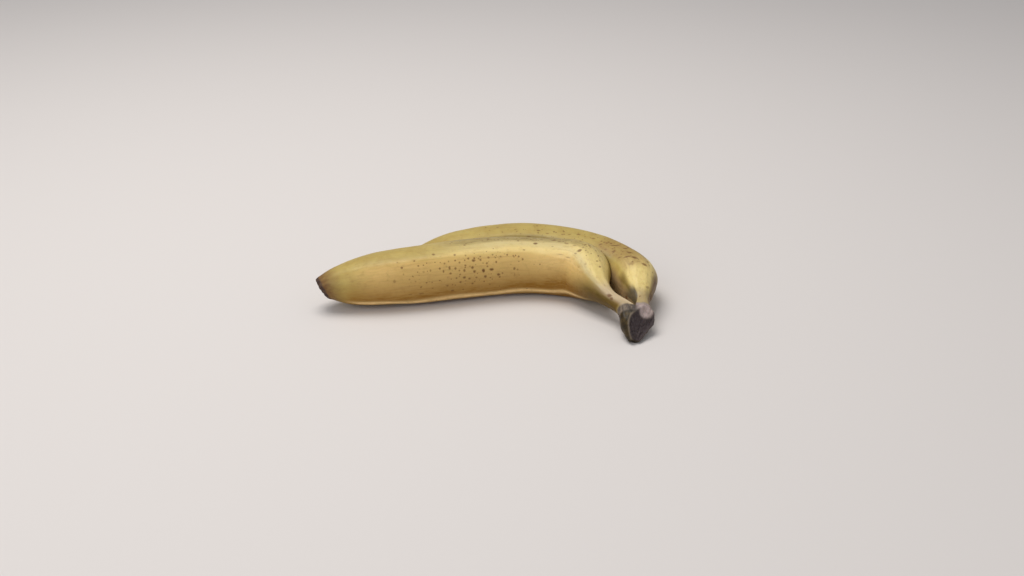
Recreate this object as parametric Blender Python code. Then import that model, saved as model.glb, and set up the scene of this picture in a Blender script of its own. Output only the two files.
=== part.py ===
"""A pair of bananas that grew together at the crown, lying on their sides.

The two fingers and the crown are one piece, so they are one closed solid. Each finger is a tube of
rings along its middle line, with five soft ridges. The two tubes meet in a seam at the join, and
the crown carries on from there to its slanting cut.
"""
import math

import bmesh
import bpy
import numpy as np

NODE = "banana_pair"
PEEL = 0  # material slots
DRY_END = 1
MM = 0.001  # sizes below are in millimetres, the mesh is in metres

# Fineness of the mesh. AROUND is a multiple of 28, so that every ridge has its own line of points.
AROUND = 28
FINGER_RINGS = 56
CROWN_RINGS = 14

# Middle line of each finger from its blossom end to the join:
# x, y, z, radius, roll of the section in degrees, strength of the ridges.
# +X is to the right along the fingers, +Y is away from the concave side, z = 0 is the table.
FRONT = (
    (-114.8, 1.8, 13.8, 6.3, 0.0, 0.3),
    (-110.0, 3.2, 14.3, 9.0, 0.0, 0.4),
    (-100.0, 6.0, 15.1, 12.9, 0.0, 0.5),
    (-82.0, 10.0, 16.2, 16.2, 0.0, 0.7),
    (-56.0, 15.6, 16.8, 17.8, 0.0, 0.9),
    (-25.5, 24.1, 16.9, 18.2, 0.0, 1.0),
    (5.5, 28.9, 16.8, 17.7, -2.0, 1.0),
    (29.0, 26.7, 16.8, 17.4, -9.0, 0.9),
    (43.8, 20.0, 16.8, 17.4, -16.0, 0.6),
    (47.8, 8.8, 16.1, 13.6, -8.0, 0.6),
    (51.9, -2.4, 15.6, 8.1, 0.0, 0.9),
    (57.2, -10.8, 13.8, 5.5, 0.0, 1.2),
    (62.4, -17.8, 12.8, 4.9, 0.0, 1.2),
    (65.9, -24.6, 11.9, 5.0, 0.0, 1.0),
)
REAR = (
    (-68.0, 38.6, 10.8, 5.6, 4.0, 0.3),
    (-63.4, 41.2, 11.2, 7.8, 4.0, 0.5),
    (-54.3, 45.6, 12.2, 11.0, 3.0, 0.9),
    (-38.0, 51.4, 13.9, 14.2, 2.0, 1.0),
    (-15.0, 57.6, 14.9, 15.6, 0.0, 1.0),
    (11.0, 59.7, 15.3, 15.8, 0.0, 1.0),
    (37.0, 53.2, 15.3, 15.3, -3.0, 1.0),
    (58.2, 40.2, 15.2, 14.6, -6.0, 0.9),
    (70.4, 25.6, 14.9, 14.2, -8.0, 0.6),
    (75.1, 12.8, 14.4, 14.0, -6.0, 0.4),
    (75.4, 2.0, 13.8, 11.8, 0.0, 0.5),
    (75.8, -8.0, 13.2, 8.6, 0.0, 0.9),
    (76.5, -16.4, 12.6, 5.0, 0.0, 1.2),
    (77.0, -24.6, 11.9, 4.5, 0.0, 1.0),
)

# Five ridges, by their angle from the inside of the bend, and the faces between them.
RIDGE_DEGREES = (-50.0, 54.0, 118.0, 180.0, 242.0, 310.0)
RIDGE_STEPS = (-4, 4, 9, 14, 19, 24)
STEPS_ROUND = 28
FACE_FLATNESS = (0.28, 0.34, 0.30, 0.28, 0.36)
FLATNESS_POWER = 1.15
TURN_SPREAD = 12.0  # the rings turn with the middle line's direction over this length either way

# The inside of each neck's sharp bend is filled to a smooth hollow.
HOLLOW_SPREAD = 15.0
HOLLOW_START = 84.0  # lengths before the join
HOLLOW_FULL = 64.0
HOLLOW_FADING = 32.0
HOLLOW_END = 16.0

# The blossom end: a flat little face with a low nub.
TIP_RINGS = ((0.24, 1.10), (0.50, 0.55), (0.80, 0.45))  # share of the end's radius, height
TIP_NUB = 1.25
TIP_LEAN = 0.42  # slope of the end face, its upper edge standing out
TIP_LEAN_LENGTH = 16.0

# The join, where both necks meet the crown. They take its shape over their last stretch.
JOIN = (72.0, -26.0, 11.7)
JOIN_HALF_WIDTH = 9.8
JOIN_HALF_HEIGHT = 5.9
CROWN_POWER = 2.3  # 2 is an ellipse, more is squarer
NOTCH = 0.26
NOTCH_WIDTH = 0.42
NOTCH_LENGTH = 11.0
SEAM_DIP = 1.6
BLEND_LENGTH = 13.0

# The crown below the join: x, y, z, half width, half thickness.
CROWN = (
    (72.6, -31.0, 9.1, 10.0, 6.7),
    (71.4, -36.0, 6.6, 8.0, 6.0),
    (70.7, -39.6, 4.7, 5.8, 4.7),
    (70.3, -42.2, 3.3, 4.4, 3.4),
    (70.2, -43.8, 2.4, 2.9, 2.3),
)
CROWN_TURN = 8.0  # the rings lean over with the crown within this length
CUT_POINT = (74.4, -27.5, 17.0)
CUT_NORMAL = (0.45, -0.60, 0.62)

# The fingers press on each other and on the table.
FINGER_GAP = 0.75
PRESS_END = 0.84  # share of the rear finger's length where the fingers part
TABLE_SINK = 0.45

# Moves the origin under the middle of the whole pair.
TO_MIDDLE = (14.76, -15.44)


def smooth_line(stations, count):
    """Places evenly along the natural cubic spline through the stations, and the values there."""
    knots = np.array(stations, dtype=float)
    gaps = np.linalg.norm(np.diff(knots[:, :3], axis=0), axis=1)
    along = np.concatenate(([0.0], np.cumsum(gaps)))
    size = len(knots)
    matrix = np.eye(size)
    right = np.zeros_like(knots)
    for i in range(1, size - 1):
        before, after = gaps[i - 1], gaps[i]
        matrix[i, i - 1:i + 2] = (before, 2 * (before + after), after)
        right[i] = 6 * ((knots[i + 1] - knots[i]) / after - (knots[i] - knots[i - 1]) / before)
    bend = np.linalg.solve(matrix, right)
    place = np.linspace(0.0, along[-1], count)
    part = np.clip(np.searchsorted(along, place, side="right") - 1, 0, size - 2)
    gap = gaps[part][:, None]
    low = (along[part + 1] - place)[:, None]
    high = (place - along[part])[:, None]
    start, end = knots[part], knots[part + 1]
    line = (bend[part] * low ** 3 + bend[part + 1] * high ** 3) / (6 * gap)
    line += (start / gap - bend[part] * gap / 6) * low
    line += (end / gap - bend[part + 1] * gap / 6) * high
    return place, line


def turning_frames(place, middle):
    """Direction, inward and upward unit vectors of each ring, with sharp turns spread out."""
    steps = np.gradient(middle, place, axis=0)
    direction = np.empty_like(steps)
    for i, spot in enumerate(place):
        weight = np.exp(-((place - spot) / TURN_SPREAD) ** 2)
        direction[i] = (steps * weight[:, None]).sum(axis=0)
    direction /= np.linalg.norm(direction, axis=1)[:, None]
    inward = np.cross(direction, (0.0, 0.0, 1.0))
    inward /= np.linalg.norm(inward, axis=1)[:, None]
    upward = np.cross(inward, direction)
    return direction, inward, upward


def section():
    """Angle of each point round a finger, and how far its face is sunk there, as a share."""
    step = np.arange(AROUND) * STEPS_ROUND / AROUND
    step = np.where(step >= RIDGE_STEPS[-1], step - STEPS_ROUND, step)
    angle = np.radians(np.interp(step, RIDGE_STEPS, RIDGE_DEGREES))
    sunk = np.zeros(AROUND)
    for face, flatness in enumerate(FACE_FLATNESS):
        first, last = RIDGE_STEPS[face], RIDGE_STEPS[face + 1]
        share = (step - first) / (last - first)
        inside = (share >= 0) & (share <= 1)
        half_span = math.radians(RIDGE_DEGREES[face + 1] - RIDGE_DEGREES[face]) / 2
        depth = flatness * (1 - math.cos(half_span))
        wave = np.sin(np.pi * np.clip(share, 0, 1)) ** FLATNESS_POWER
        sunk = np.where(inside, depth * wave, sunk)
    return angle, sunk


def crown_outline(notch):
    """Unit section of the crown, from the front finger's outside over the top.

    notch is the depth of the furrow between the two fingers, as a share of the half height.
    """
    turn = 2 * np.pi * np.arange(AROUND) / AROUND
    across, up = np.round(np.cos(turn), 9), np.round(np.sin(turn), 9)
    wide = np.sign(across) * np.abs(across) ** (2 / CROWN_POWER)
    high = np.sign(up) * np.abs(up) ** (2 / CROWN_POWER)
    high *= 1 - notch * np.exp(-(across / NOTCH_WIDTH) ** 2)
    return wide, high


def neck_end(facing):
    """The last ring of a finger: half of the join's outline, closed by the seam."""
    wide, high = crown_outline(NOTCH)
    ring = np.empty((AROUND, 3))
    ring[:, 0] = JOIN[0] - wide * JOIN_HALF_WIDTH
    ring[:, 1] = JOIN[1]
    ring[:, 2] = JOIN[2] + high * JOIN_HALF_HEIGHT
    on_seam = wide * facing <= 0
    seam = crown_outline(0.0)[1][on_seam]
    ring[on_seam, 0] = JOIN[0]
    ring[on_seam, 1] = JOIN[1] - SEAM_DIP * (1 - seam ** 2)
    ring[on_seam, 2] = JOIN[2] + seam * (1 - NOTCH) * JOIN_HALF_HEIGHT
    return ring


def soft(value, low, high):
    """0 on low's side, 1 on high's side, and a smooth step between them."""
    share = np.clip((value - low) / (high - low), 0, 1)
    return share ** 2 * (3 - 2 * share)


def fill_hollow(rings, place, angle):
    """The rings with the fold on the inside of the neck's bend smoothed out along the finger."""
    smooth = np.empty_like(rings)
    for i, spot in enumerate(place):
        weight = np.exp(-((place - spot) / HOLLOW_SPREAD) ** 2)
        smooth[i] = np.tensordot(weight / weight.sum(), rings, axes=1)
    left = (place[-1] - place)[:, None]
    lengthwise = soft(left, HOLLOW_START, HOLLOW_FULL) * soft(left, HOLLOW_END, HOLLOW_FADING)
    share = (lengthwise * soft(np.cos(angle), -0.2, 0.8))[:, :, None]
    return rings * (1 - share) + smooth * share


def finger(stations, facing):
    """Rings of one finger, and its direction at the blossom end.

    facing is 1 for the finger on the join's -X side and -1 for the other.
    """
    place, line = smooth_line(stations, FINGER_RINGS)
    middle, radius = line[:, :3], line[:, 3]
    direction, inward, upward = turning_frames(place, middle)
    angle, sunk = section()
    angle = angle[None, :] + np.radians(line[:, 4:5])
    reach = radius[:, None] * (1 - line[:, 5:6] * sunk[None, :])
    aside = (reach * np.cos(angle))[:, :, None]
    height = (reach * np.sin(angle))[:, :, None]
    rings = middle[:, None, :] + aside * inward[:, None, :] + height * upward[:, None, :]
    lean = TIP_LEAN * np.clip(1 - place / TIP_LEAN_LENGTH, 0, 1) ** 1.5
    rings -= lean[:, None, None] * height * direction[:, None, :]
    rings = fill_hollow(rings, place, angle)
    blend = soft(place, place[-1] - BLEND_LENGTH, place[-1])[:, None, None]
    drift = middle[:, None, :] - middle[-1]
    return rings * (1 - blend) + (neck_end(facing) + drift) * blend, direction[0]


def press_apart(rear, front):
    """The rear finger's rings, its side pushed clear of the front one it grew against."""
    middle = front.mean(axis=1)
    spokes = front - middle[:, None, :]
    reach = np.linalg.norm(spokes, axis=2)
    toward = spokes / reach[:, :, None]
    pressed = rear.copy()
    for ring in pressed[:int(PRESS_END * len(rear))]:
        for point in ring:
            near = np.argmin(np.linalg.norm(middle - point, axis=1))
            away = point - middle[near]
            distance = np.linalg.norm(away)
            away /= distance
            wall = reach[near][np.argmax(toward[near] @ away)] + FINGER_GAP
            point += away * max(wall - distance, 0.0)
    return pressed


def crown():
    """Rings of the crown below the join, planed off by the slanting cut."""
    place, line = smooth_line(((*JOIN, JOIN_HALF_WIDTH, JOIN_HALF_HEIGHT), *CROWN), CROWN_RINGS + 1)
    axis = np.gradient(line[:, :3], place, axis=0)
    tilt = np.arctan2(-axis[:, 2], -axis[:, 1]) * np.clip(place / CROWN_TURN, 0, 1)
    normal = np.array(CUT_NORMAL) / np.linalg.norm(CUT_NORMAL)
    rings = []
    for i in range(1, CROWN_RINGS + 1):
        x, y, z, half_width, half_height = line[i]
        wide, high = crown_outline(NOTCH * max(0.0, 1 - place[i] / NOTCH_LENGTH))
        ring = np.empty((AROUND, 3))
        ring[:, 0] = x - wide * half_width
        ring[:, 1] = y - high * half_height * math.sin(tilt[i])
        ring[:, 2] = z + high * half_height * math.cos(tilt[i])
        beyond = ((ring - np.array(CUT_POINT)) @ normal).clip(0)
        rings.append(ring - beyond[:, None] * normal)
    return rings


def tip(ring, direction):
    """Rings that close a blossom end, from its middle out, and the point in its middle."""
    centre = ring.mean(axis=0)
    rings = [centre + (ring - centre) * share - direction * height for share, height in TIP_RINGS]
    return rings, centre - direction * TIP_NUB


def place_on_table(point):
    """A point in the part's own frame, in metres, flattened where the table presses."""
    x, y, z = point
    return ((x + TO_MIDDLE[0]) * MM, (y + TO_MIDDLE[1]) * MM, max(z - TABLE_SINK, 0.0) * MM)


def add_loops(mesh, rings):
    """A list of vertices for each ring of points."""
    return [[mesh.verts.new(place_on_table(point)) for point in ring] for ring in rings]


def skin(mesh, loops, material):
    """Quads between each loop of vertices and the next."""
    for near, far in zip(loops, loops[1:]):
        for i in range(AROUND):
            k = (i + 1) % AROUND
            mesh.faces.new((near[i], near[k], far[k], far[i])).material_index = material


def close_end(mesh, loop, point):
    """Triangles from a loop of vertices to one point."""
    centre = mesh.verts.new(place_on_table(point))
    for i in range(AROUND):
        mesh.faces.new((loop[(i + 1) % AROUND], loop[i], centre)).material_index = DRY_END


def add_finger(mesh, rings, direction, last=None):
    """Skin of one finger from its blossom end, and its last loop. last may be there already."""
    tip_rings, point = tip(rings[0], direction)
    tip_loops = add_loops(mesh, tip_rings)
    if last is None:
        loops = add_loops(mesh, rings)
    else:
        loops = [*add_loops(mesh, rings[:-1]), last]
    skin(mesh, [*tip_loops, loops[0]], DRY_END)
    skin(mesh, loops, PEEL)
    close_end(mesh, tip_loops[0], point)
    return loops[-1]


def build_pair():
    """The whole pair as one closed mesh."""
    front, front_start = finger(FRONT, 1)
    rear, rear_start = finger(REAR, -1)
    rear = press_apart(rear, front)
    mesh = bmesh.new()
    shared = add_finger(mesh, front, front_start)

    # The rear finger's last loop takes its half of the seam, mirrored, from the front finger's.
    quarter = AROUND // 4
    last = []
    for i in range(AROUND):
        if quarter < i < 3 * quarter:
            last.append(mesh.verts.new(place_on_table(rear[-1][i])))
        else:
            last.append(shared[(2 * quarter - i) % AROUND])
    add_finger(mesh, rear, rear_start, last)

    # The crown starts from the outer halves of both last loops.
    start = [last[i] if quarter < i < 3 * quarter else shared[i] for i in range(AROUND)]
    rings = crown()
    loops = [start, *add_loops(mesh, rings)]
    skin(mesh, loops, DRY_END)
    close_end(mesh, loops[-1], rings[-1].mean(axis=0))

    bmesh.ops.recalc_face_normals(mesh, faces=mesh.faces)
    return mesh


def plain_material(name, color, roughness):
    """A material of one colour."""
    material = bpy.data.materials.new(name)
    material.use_nodes = True
    shader = material.node_tree.nodes["Principled BSDF"]
    shader.inputs["Base Color"].default_value = (*color, 1.0)
    shader.inputs["Roughness"].default_value = roughness
    shader.inputs["Metallic"].default_value = 0.0
    return material


def make_pair():
    """The pair as one named object: ripe yellow peel, and dark dry ends."""
    mesh = build_pair()
    data = bpy.data.meshes.new(NODE)
    mesh.to_mesh(data)
    mesh.free()
    data.materials.append(plain_material("ripe_peel", (0.56, 0.37, 0.11), 0.48))
    data.materials.append(plain_material("dry_end", (0.045, 0.032, 0.026), 0.75))
    data.shade_smooth()
    data.set_sharp_from_angle(angle=math.radians(50))
    pair = bpy.data.objects.new(NODE, data)
    bpy.context.scene.collection.objects.link(pair)


for old in list(bpy.data.objects):
    bpy.data.objects.remove(old, do_unlink=True)
make_pair()
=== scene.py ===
"""The looks of a pair of bananas that grew together at the crown.

The pair is modelled again with the CAD part's own dimensions, on a finer mesh, and its relief is
worked into that mesh: ridge lines, dents, neck furrows, the dry blossom ends and the fibrous cut.
Each vertex also carries where it is on the fruit, and the peel's material is painted from that.
"""
import math

import bmesh
import bpy
import numpy as np
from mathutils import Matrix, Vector, noise
from mathutils.bvhtree import BVHTree


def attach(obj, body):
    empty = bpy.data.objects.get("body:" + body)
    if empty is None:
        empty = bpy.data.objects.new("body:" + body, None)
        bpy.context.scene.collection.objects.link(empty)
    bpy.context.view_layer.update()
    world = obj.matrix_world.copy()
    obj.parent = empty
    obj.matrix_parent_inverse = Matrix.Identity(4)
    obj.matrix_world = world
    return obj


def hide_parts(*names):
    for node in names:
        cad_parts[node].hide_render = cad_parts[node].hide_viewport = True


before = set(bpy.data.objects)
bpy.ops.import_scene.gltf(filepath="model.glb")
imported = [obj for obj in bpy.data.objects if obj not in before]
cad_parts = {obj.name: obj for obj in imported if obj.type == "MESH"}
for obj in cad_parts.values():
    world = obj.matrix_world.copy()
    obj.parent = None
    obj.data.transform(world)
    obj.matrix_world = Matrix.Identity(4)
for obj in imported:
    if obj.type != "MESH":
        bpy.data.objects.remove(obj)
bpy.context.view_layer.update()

NODE = "banana_pair"
MM = 0.001  # sizes below are in millimetres, the mesh is in metres

# Fineness of the mesh. AROUND is a multiple of 28, so that every ridge has its own line of points.
AROUND = 112
FINGER_RINGS = 380
CROWN_RINGS = 60

# The form, as in the CAD part.
# Middle line of each finger from its blossom end to the join:
# x, y, z, radius, roll of the section in degrees, strength of the ridges.
FRONT = (
    (-114.8, 1.8, 13.8, 6.3, 0.0, 0.3),
    (-110.0, 3.2, 14.3, 9.0, 0.0, 0.4),
    (-100.0, 6.0, 15.1, 12.9, 0.0, 0.5),
    (-82.0, 10.0, 16.2, 16.2, 0.0, 0.7),
    (-56.0, 15.6, 16.8, 17.8, 0.0, 0.9),
    (-25.5, 24.1, 16.9, 18.2, 0.0, 1.0),
    (5.5, 28.9, 16.8, 17.7, -2.0, 1.0),
    (29.0, 26.7, 16.8, 17.4, -9.0, 0.9),
    (43.8, 20.0, 16.8, 17.4, -16.0, 0.6),
    (47.8, 8.8, 16.1, 13.6, -8.0, 0.6),
    (51.9, -2.4, 15.6, 8.1, 0.0, 0.9),
    (57.2, -10.8, 13.8, 5.5, 0.0, 1.2),
    (62.4, -17.8, 12.8, 4.9, 0.0, 1.2),
    (65.9, -24.6, 11.9, 5.0, 0.0, 1.0),
)
REAR = (
    (-68.0, 38.6, 10.8, 5.6, 4.0, 0.3),
    (-63.4, 41.2, 11.2, 7.8, 4.0, 0.5),
    (-54.3, 45.6, 12.2, 11.0, 3.0, 0.9),
    (-38.0, 51.4, 13.9, 14.2, 2.0, 1.0),
    (-15.0, 57.6, 14.9, 15.6, 0.0, 1.0),
    (11.0, 59.7, 15.3, 15.8, 0.0, 1.0),
    (37.0, 53.2, 15.3, 15.3, -3.0, 1.0),
    (58.2, 40.2, 15.2, 14.6, -6.0, 0.9),
    (70.4, 25.6, 14.9, 14.2, -8.0, 0.6),
    (75.1, 12.8, 14.4, 14.0, -6.0, 0.4),
    (75.4, 2.0, 13.8, 11.8, 0.0, 0.5),
    (75.8, -8.0, 13.2, 8.6, 0.0, 0.9),
    (76.5, -16.4, 12.6, 5.0, 0.0, 1.2),
    (77.0, -24.6, 11.9, 4.5, 0.0, 1.0),
)

# Five ridges, by their angle from the inside of the bend, and the faces between them.
RIDGE_DEGREES = (-50.0, 54.0, 118.0, 180.0, 242.0, 310.0)
RIDGE_STEPS = (-4, 4, 9, 14, 19, 24)
STEPS_ROUND = 28
FACE_FLATNESS = (0.28, 0.34, 0.30, 0.28, 0.36)
FLATNESS_POWER = 1.15
TURN_SPREAD = 12.0

# The inside of each neck's sharp bend is filled to a smooth hollow.
HOLLOW_SPREAD = 15.0
HOLLOW_START = 84.0
HOLLOW_FULL = 64.0
HOLLOW_FADING = 32.0
HOLLOW_END = 16.0

# The blossom end: a flat little face with a low nub.
TIP_RINGS = ((0.24, 1.10), (0.50, 0.55), (0.80, 0.45))
TIP_NUB = 1.25
TIP_LEAN = 0.42
TIP_LEAN_LENGTH = 16.0

# The join, where both necks meet the crown.
JOIN = (72.0, -26.0, 11.7)
JOIN_HALF_WIDTH = 9.8
JOIN_HALF_HEIGHT = 5.9
CROWN_POWER = 2.3
NOTCH = 0.26
NOTCH_WIDTH = 0.42
NOTCH_LENGTH = 11.0
SEAM_DIP = 1.6
BLEND_LENGTH = 13.0

# The crown below the join: x, y, z, half width, half thickness.
CROWN = (
    (72.6, -31.0, 9.1, 10.0, 6.7),
    (71.4, -36.0, 6.6, 8.0, 6.0),
    (70.7, -39.6, 4.7, 5.8, 4.7),
    (70.3, -42.2, 3.3, 4.4, 3.4),
    (70.2, -43.8, 2.4, 2.9, 2.3),
)
CROWN_TURN = 8.0
CUT_POINT = (74.4, -27.5, 17.0)
CUT_NORMAL = (0.45, -0.60, 0.62)

# The fingers press on each other and on the table.
FINGER_GAP = 0.75
PRESS_END = 0.84
TABLE_SINK = 0.45
TOUCH_GAP = -0.60  # the skins sink into each other where the fingers press
TO_MIDDLE = (14.76, -15.44)

# Relief of the fingers.
RIDGE_LIFT = 0.26  # a thin raised line along each ridge
RIDGE_LINE = 1.3
KNEE_ROUNDING = 0.50  # how far the ridges sink where a finger bends to its neck
KNEE_REACH = 3.4
KNEE_TURN = math.radians(54)  # the ridge between the upper side and the inner face
FACE_SWELL = 0.42
FACE_RIPPLE = 0.12
FIBRE_LIFT = 0.045
NECK_FURROW = 0.20
FOLD_LIFT = 0.03  # wrinkles across the inside of each neck's bend
FOLD_LENGTH = 4.6
TIP_CREASE = 0.22
TIP_RIM = 0.25
TIP_CRUST = 0.30
DENT_SEED = 11
DENT_COUNT = 34
DENT_SIZE = (2.2, 6.5)
DENT_DEPTH = (0.12, 0.42)
DENT_REACH = 15.0  # radius that turns a dent's angle into a length

# Relief of the crown.
CROWN_RIB = 0.34
CUT_RIM = 0.55
CUT_HOLLOW = 1.0
CUT_FIBRE = 0.20
CUT_CRACK = 0.45
COLLAR_LIP = 0.45
BULGE_PLACE = (77.6, -27.6, 13.8)  # a rounded swelling at the top of the cut
BULGE_REACH = (8.4, 3.0)
BULGE_LIFT = 0.9

# Colours, as a screen shows them.
YELLOW = (184, 161, 87)
YELLOW_DULL = (173, 148, 76)
# paler upper side: partly the peel's own paler tone, partly painted light from above
CREAM_AND_TOP_LIGHT = (208, 188, 130)
# painted highlight: a bright line along the ridge between the upper side and the inner face
RIDGE_HIGHLIGHT = (226, 198, 124)
GOLD = (212, 176, 106)
# painted shade: the lower, downward-facing part of the inner face, darker brown-orange
LOW_FACE_SHADE = (140, 96, 8)
# pale line along the lowest ridge: partly a worn edge, partly a painted highlight of light from the floor
LOWER_RIDGE_WEAR_AND_HIGHLIGHT = (250, 214, 148)
# painted highlight on the top of each finger's knee
KNEE_HIGHLIGHT = (222, 198, 126)
NECK_TAN = (194, 172, 136)
# dark olive on the lower and inner sides of the necks: partly their own green, partly painted shade
OLIVE_AND_SHADE = (88, 66, 6)
# grey-olive: partly a stain on the peel, partly painted shade in the groove between the two fingers
SMUDGE_AND_SHADE = (150, 130, 76)
SHADE_BROWN = (162, 134, 94)
# painted shade: dark brown on the rear finger's outer side near its neck
EDGE_SHADE = (84, 48, 8)
# painted shade in the narrow gap between the rear neck and the front finger
CREVICE_SHADE = (86, 75, 54)
SCAR = (154, 122, 66)
STREAK_BROWN = (140, 104, 58)
SPECKLE = (106, 67, 28)
TIP_BROWN = (112, 78, 38)
TIP_DARK = (58, 42, 36)
TIP_GREY = (92, 70, 52)
COLLAR_DARK = (78, 68, 60)
COLLAR_GREY = (128, 114, 98)
# pale grey-pink on the swelling at the top of the cut: partly the dry tissue's tone, partly a painted highlight
BULGE_PINK_AND_HIGHLIGHT = (180, 161, 155)
# painted highlight: a paler line along the edge of the cut
CUT_EDGE_HIGHLIGHT = (112, 98, 80)
CUT_DARK = (57, 46, 47)
CUT_LIGHT = (90, 80, 77)
# painted shade in the furrow between the two necks at the join
FURROW_SHADE = (56, 47, 44)
SKIN_DARK = (40, 30, 12)
SKIN_OLIVE = (74, 58, 24)
ZONES = (
    "cream_and_top_light", "face", "low", "lower_ridge_wear_and_highlight", "ridge_highlight", "pale", "tan", "olive_and_shade", "smudge_and_shade", "shade",
    "edge", "crevice_shade", "scar", "tip", "dry", "collar", "bulge", "cut", "rim_highlight", "skin", "furrow",
    "speckled",
)

PEEL_SHINE = 0.32  # less than plastic, so that the dark yellows stay warm
PEEL_ROUGHNESS = (0.40, 0.54)
DRY_ROUGHER = 0.30
SPECKLE_ROUGHER = 0.12
BUMP_HEIGHT = 0.10
PEEL_GLOW = 0.06
PEEL_GLOW_RADIUS = (1.6, 0.9, 0.3)

# Specks and scars: column and row in the photograph, half length and half width in millimetres,
# turn from the +X direction in degrees, strength.
MARKS = (
    (483, 270, 1.0, 1.3, 0, 0.95), (491, 269, 1.4, 0.8, 0, 0.9), (498, 274, 1.1, 0.8, 0, 0.85),
    (485, 276, 0.9, 0.9, 0, 0.8), (473, 260, 1.2, 0.8, 0, 0.8), (478, 258, 0.6, 0.6, 0, 0.5),
    (488, 257, 0.8, 0.7, 0, 0.6), (500, 256, 0.6, 0.6, 0, 0.5), (465, 265, 0.7, 0.6, 0, 0.7),
    (472, 267, 0.8, 0.8, 0, 0.8), (474, 271, 0.8, 0.8, 0, 0.8), (464, 277, 1.0, 0.8, 0, 0.8),
    (469, 278, 0.8, 0.7, 0, 0.7), (476, 277, 0.7, 0.6, 0, 0.6), (472, 283, 0.7, 0.7, 0, 0.7),
    (452, 290, 1.1, 0.8, 0, 0.7), (449, 267, 0.7, 0.9, 0, 0.7), (455, 268, 0.7, 0.9, 0, 0.7),
    (450, 273, 0.8, 0.7, 0, 0.7), (443, 271, 0.6, 0.9, 0, 0.7), (444, 263, 0.6, 0.6, 0, 0.6),
    (448, 261, 0.5, 0.6, 0, 0.5), (464, 270, 0.7, 1.0, 0, 0.7), (459, 262, 0.6, 0.7, 0, 0.6),
    (465, 255, 0.6, 0.6, 0, 0.5), (459, 270, 0.6, 0.6, 0, 0.6), (447, 285, 0.8, 0.7, 0, 0.6),
    (430, 270, 0.6, 0.8, 0, 0.5), (433, 254, 1.1, 0.9, 0, 0.7), (394, 281, 0.9, 1.1, 0, 0.4),
    (403, 274, 0.5, 0.6, 0, 0.4), (409, 279, 0.6, 0.5, 0, 0.4), (415, 281, 0.6, 0.5, 0, 0.4),
    (486, 263, 0.5, 0.6, 0, 0.5), (514, 268, 0.8, 0.9, 0, 0.7), (517, 269, 0.6, 0.6, 0, 0.5),
    (514, 274, 0.5, 1.4, 0, 0.35), (421, 293, 1.7, 0.6, 0, 0.5), (410, 294, 1.2, 0.5, 0, 0.4),
    (535, 243, 1.5, 1.2, 0, 0.85), (579, 250, 1.7, 1.1, 30, 0.8), (575, 253, 0.9, 0.7, 0, 0.5),
    (560, 254, 2.4, 0.5, -18, 0.4), (568, 257, 1.8, 0.5, -25, 0.45), (552, 246, 0.7, 0.6, 0, 0.4),
    (522, 238, 1.6, 0.5, 0, 0.5), (528, 236, 1.3, 0.5, -5, 0.5), (534, 238, 1.5, 0.6, -5, 0.6),
    (541, 239, 1.4, 0.5, -8, 0.55), (547, 238, 1.5, 0.6, -8, 0.6), (553, 240, 1.6, 0.6, -10, 0.65),
    (559, 241, 1.3, 0.6, -12, 0.6), (566, 243, 1.4, 0.8, -15, 0.55), (574, 245, 1.2, 0.8, -20, 0.45),
    (497, 227, 0.9, 0.7, 0, 0.55), (489, 230, 0.7, 0.6, 0, 0.4), (515, 229, 0.8, 0.6, 0, 0.45),
    (538, 230, 1.3, 0.9, 0, 0.65), (547, 233, 1.0, 0.7, 0, 0.5), (562, 234, 0.9, 0.7, 0, 0.5),
    (569, 234, 1.1, 0.7, 0, 0.5), (578, 234, 1.3, 0.9, -10, 0.65), (593, 238, 1.2, 0.9, -15, 0.6),
    (600, 244, 1.3, 0.9, 20, 0.6), (605, 249, 0.9, 0.8, 0, 0.45), (586, 246, 0.7, 0.6, 0, 0.4),
    (615, 245, 3.4, 0.7, 8, 0.8), (625, 248, 1.6, 0.9, -20, 0.75), (613, 251, 1.2, 0.9, -20, 0.65),
    (619, 257, 1.4, 0.7, 0, 0.6), (627, 256, 2.6, 0.9, 5, 0.75), (629, 252, 1.7, 1.1, -25, 0.8),
    (634, 257, 2.3, 1.3, -40, 0.85), (644, 264, 2.1, 1.1, -35, 0.8), (631, 263, 1.8, 1.4, 0, 0.4),
    (638, 261, 1.2, 0.8, 0, 0.3), (609, 295, 1.7, 1.2, -40, 0.9), (611, 298, 1.2, 1.0, -60, 0.8),
    (626, 297, 1.5, 1.1, -20, 0.8), (647, 287, 1.6, 0.9, 20, 0.5),
)
MARK_FAR = 50.0
MARK_LAYERS = 4  # marks in one layer stay clear of each other
STRAIGHT_STEP = 500.0  # sets the two fingers' and the crown's patterns apart

FLOOR_SIZE = 12.0
FLOOR_COLOUR = (214, 208, 204)
SURROUND_COLOUR = (238, 240, 245)
SURROUND_STRENGTH = 0.42
SOFTBOXES = (  # name, place, size in metres, power, tint
    ("overhead", (-0.25, 0.20, 1.15), 0.8, 10.5, (1.0, 0.98, 0.95)),
    ("fill", (-0.6, -1.1, 0.75), 1.2, 6.5, (0.98, 0.99, 1.0)),
)

# The camera of the photograph, whose frame is 1024 by 576 pixels.
PHOTO_WIDTH = 1024
PHOTO_HEIGHT = 576
FOCAL_PIXELS = 1236.0
SENSOR = 36.0
CAMERA_PITCH = 25.5
CAMERA_DISTANCE = 744.58
CAMERA_AIM = (0.0, 0.0, 15.0)


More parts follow.
